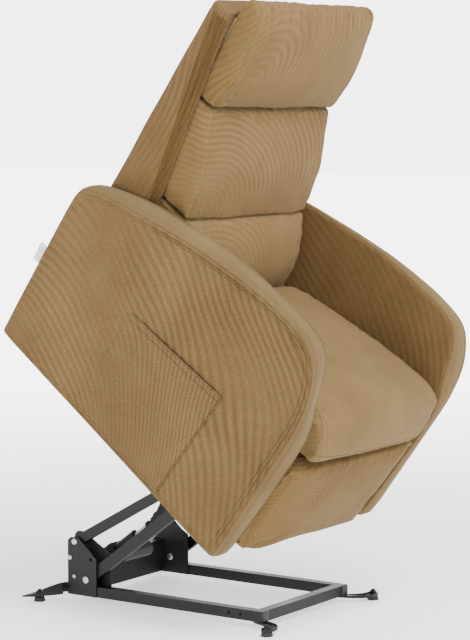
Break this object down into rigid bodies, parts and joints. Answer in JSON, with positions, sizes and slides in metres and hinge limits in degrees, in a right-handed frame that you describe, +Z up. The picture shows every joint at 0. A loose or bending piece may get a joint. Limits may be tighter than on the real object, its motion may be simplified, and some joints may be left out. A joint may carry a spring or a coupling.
{
  "type": "lift recliner",
  "caption": "Power lift recliner in ribbed fabric, raised and tipped forward on lift arms above a steel base, with reclining back and folding legrest.",
  "frame": {"origin": "on the floor, below the middle of the whole part in its raised pose", "axes": "+Z up, +Y from the chair's front to its rear, +X to the sitter's left"},
  "size_m": [0.717, 0.9041, 1.4684],
  "materials": {
    "powder_coat": "dark grey powder coat",
    "zinc": "bright zinc plate",
    "corduroy": "fine ribbed tan fabric",
    "plywood": "plain sawn plywood",
    "rubber": "matt black",
    "moulding": "black moulded nylon"
  },
  "bodies": {
    "base": {"side_rails": "powder_coat", "front_cross_bar": "powder_coat", "rear_cross_bar": "powder_coat", "tower_outer_plates": "powder_coat", "tower_inner_plates": "powder_coat", "tower_pivot_pins": "zinc", "tower_rivets": "zinc", "rear_cross_channel": "powder_coat", "actuator_clevis": "powder_coat", "front_foot_straps": "powder_coat", "rear_foot_legs": "powder_coat", "levelling_studs": "zinc", "foot_pads": "rubber"},
    "lower_arms": {"lower_lift_arms": "powder_coat", "lower_cross_tube": "powder_coat"},
    "upper_arms": {"upper_lift_arms": "powder_coat", "upper_cross_tube": "powder_coat", "actuator_ears": "powder_coat", "upper_front_pins": "zinc"},
    "lift_housing": {"lift_gearbox": "moulding", "lift_motor": "moulding", "lift_outer_tube": "powder_coat"},
    "lift_rod": {"lift_rod": "zinc", "lift_rod_fork": "powder_coat"},
    "chair": {"arm_panel_left": "corduroy", "arm_panel_right": "corduroy", "side_pocket": "corduroy", "rear_skirt": "corduroy", "seat_side_rails": "plywood", "seat_cross_beams": "plywood", "mechanism_rails": "powder_coat", "lift_brackets": "powder_coat", "lower_front_pins": "zinc", "seat_springs": "zinc", "seat_cushion": "corduroy", "control_tray": "powder_coat", "control_box": "moulding", "legrest_pivot_plates": "powder_coat", "recline_pivot_plates": "powder_coat", "legrest_actuator": "moulding"},
    "backrest": {"back_shell": "corduroy", "back_frame": "plywood", "back_hinge_plates": "powder_coat", "head_cushion": "corduroy", "middle_cushion": "corduroy", "lower_cushion": "corduroy"},
    "legrest_rod": {"legrest_actuator_rod": "zinc"},
    "legrest_rear": {"legrest_rear_links": "powder_coat", "legrest_cross_shaft": "powder_coat"},
    "legrest_front": {"legrest_front_links": "powder_coat"},
    "legrest_panel": {"legrest_pad": "corduroy", "legrest_board": "plywood", "legrest_brackets": "powder_coat"}
  },
  "joints": [
    {"name": "lift", "type": "hinge", "parent": "base", "child": "lower_arms", "pos_m": [0, 0.3155, 0.057], "axis": [1, 0, 0], "range_deg": [0, 29.06]},
    {"name": "upper_arm_swing", "type": "hinge", "parent": "base", "child": "upper_arms", "pos_m": [0, 0.3508, 0.1497], "axis": [1, 0, 0], "range_deg": [0, 27.84]},
    {"name": "chair_tilt", "type": "hinge", "parent": "lower_arms", "child": "chair", "pos_m": [0, -0.08605, 0.35477], "axis": [-1, 0, 0], "range_deg": [0, 67.47]},
    {"name": "lift_actuator_swing", "type": "hinge", "parent": "base", "child": "lift_housing", "pos_m": [0, 0.3215, 0.0937], "axis": [1, 0, 0], "range_deg": [0, 28.7]},
    {"name": "lift_rod_slide", "type": "slide", "parent": "lift_housing", "child": "lift_rod", "axis": [0, 0.8041, -0.5945], "range_m": [0, 0.03028]},
    {"name": "recline", "type": "hinge", "parent": "chair", "child": "backrest", "pos_m": [0, 0.20252, 0.86842], "axis": [-1, 0, 0], "range_deg": [0, 35]},
    {"name": "legrest", "type": "hinge", "parent": "chair", "child": "legrest_rear", "pos_m": [0, -0.07006, 0.51201], "axis": [-1, 0, 0], "range_deg": [0, 84.42]},
    {"name": "legrest_knee", "type": "hinge", "parent": "legrest_rear", "child": "legrest_front", "pos_m": [0, -0.00205, 0.37388], "axis": [1, 0, 0], "range_deg": [0, 121.69]},
    {"name": "legrest_panel_turn", "type": "hinge", "parent": "legrest_front", "child": "legrest_panel", "pos_m": [0, -0.25536, 0.43315], "axis": [-1, 0, 0], "range_deg": [0, 117.41]},
    {"name": "legrest_rod_slide", "type": "slide", "parent": "chair", "child": "legrest_rod", "axis": [0, -0.7837, -0.6211], "range_m": [0, 0.0672]}
  ],
  "couplings": [
    {"joint": "upper_arm_swing", "follows": "lift", "ratio": 0.95764},
    {"joint": "chair_tilt", "follows": "lift", "ratio": 2.3215},
    {"joint": "lift_actuator_swing", "follows": "lift", "ratio": 0.98746},
    {"joint": "lift_rod_slide", "follows": "lift", "m_per_rad": 0.059659},
    {"joint": "legrest_knee", "follows": "legrest", "ratio": 1.4414},
    {"joint": "legrest_panel_turn", "follows": "legrest", "ratio": 1.3907},
    {"joint": "legrest_rod_slide", "follows": "legrest", "m_per_rad": 0.045588}
  ]
}
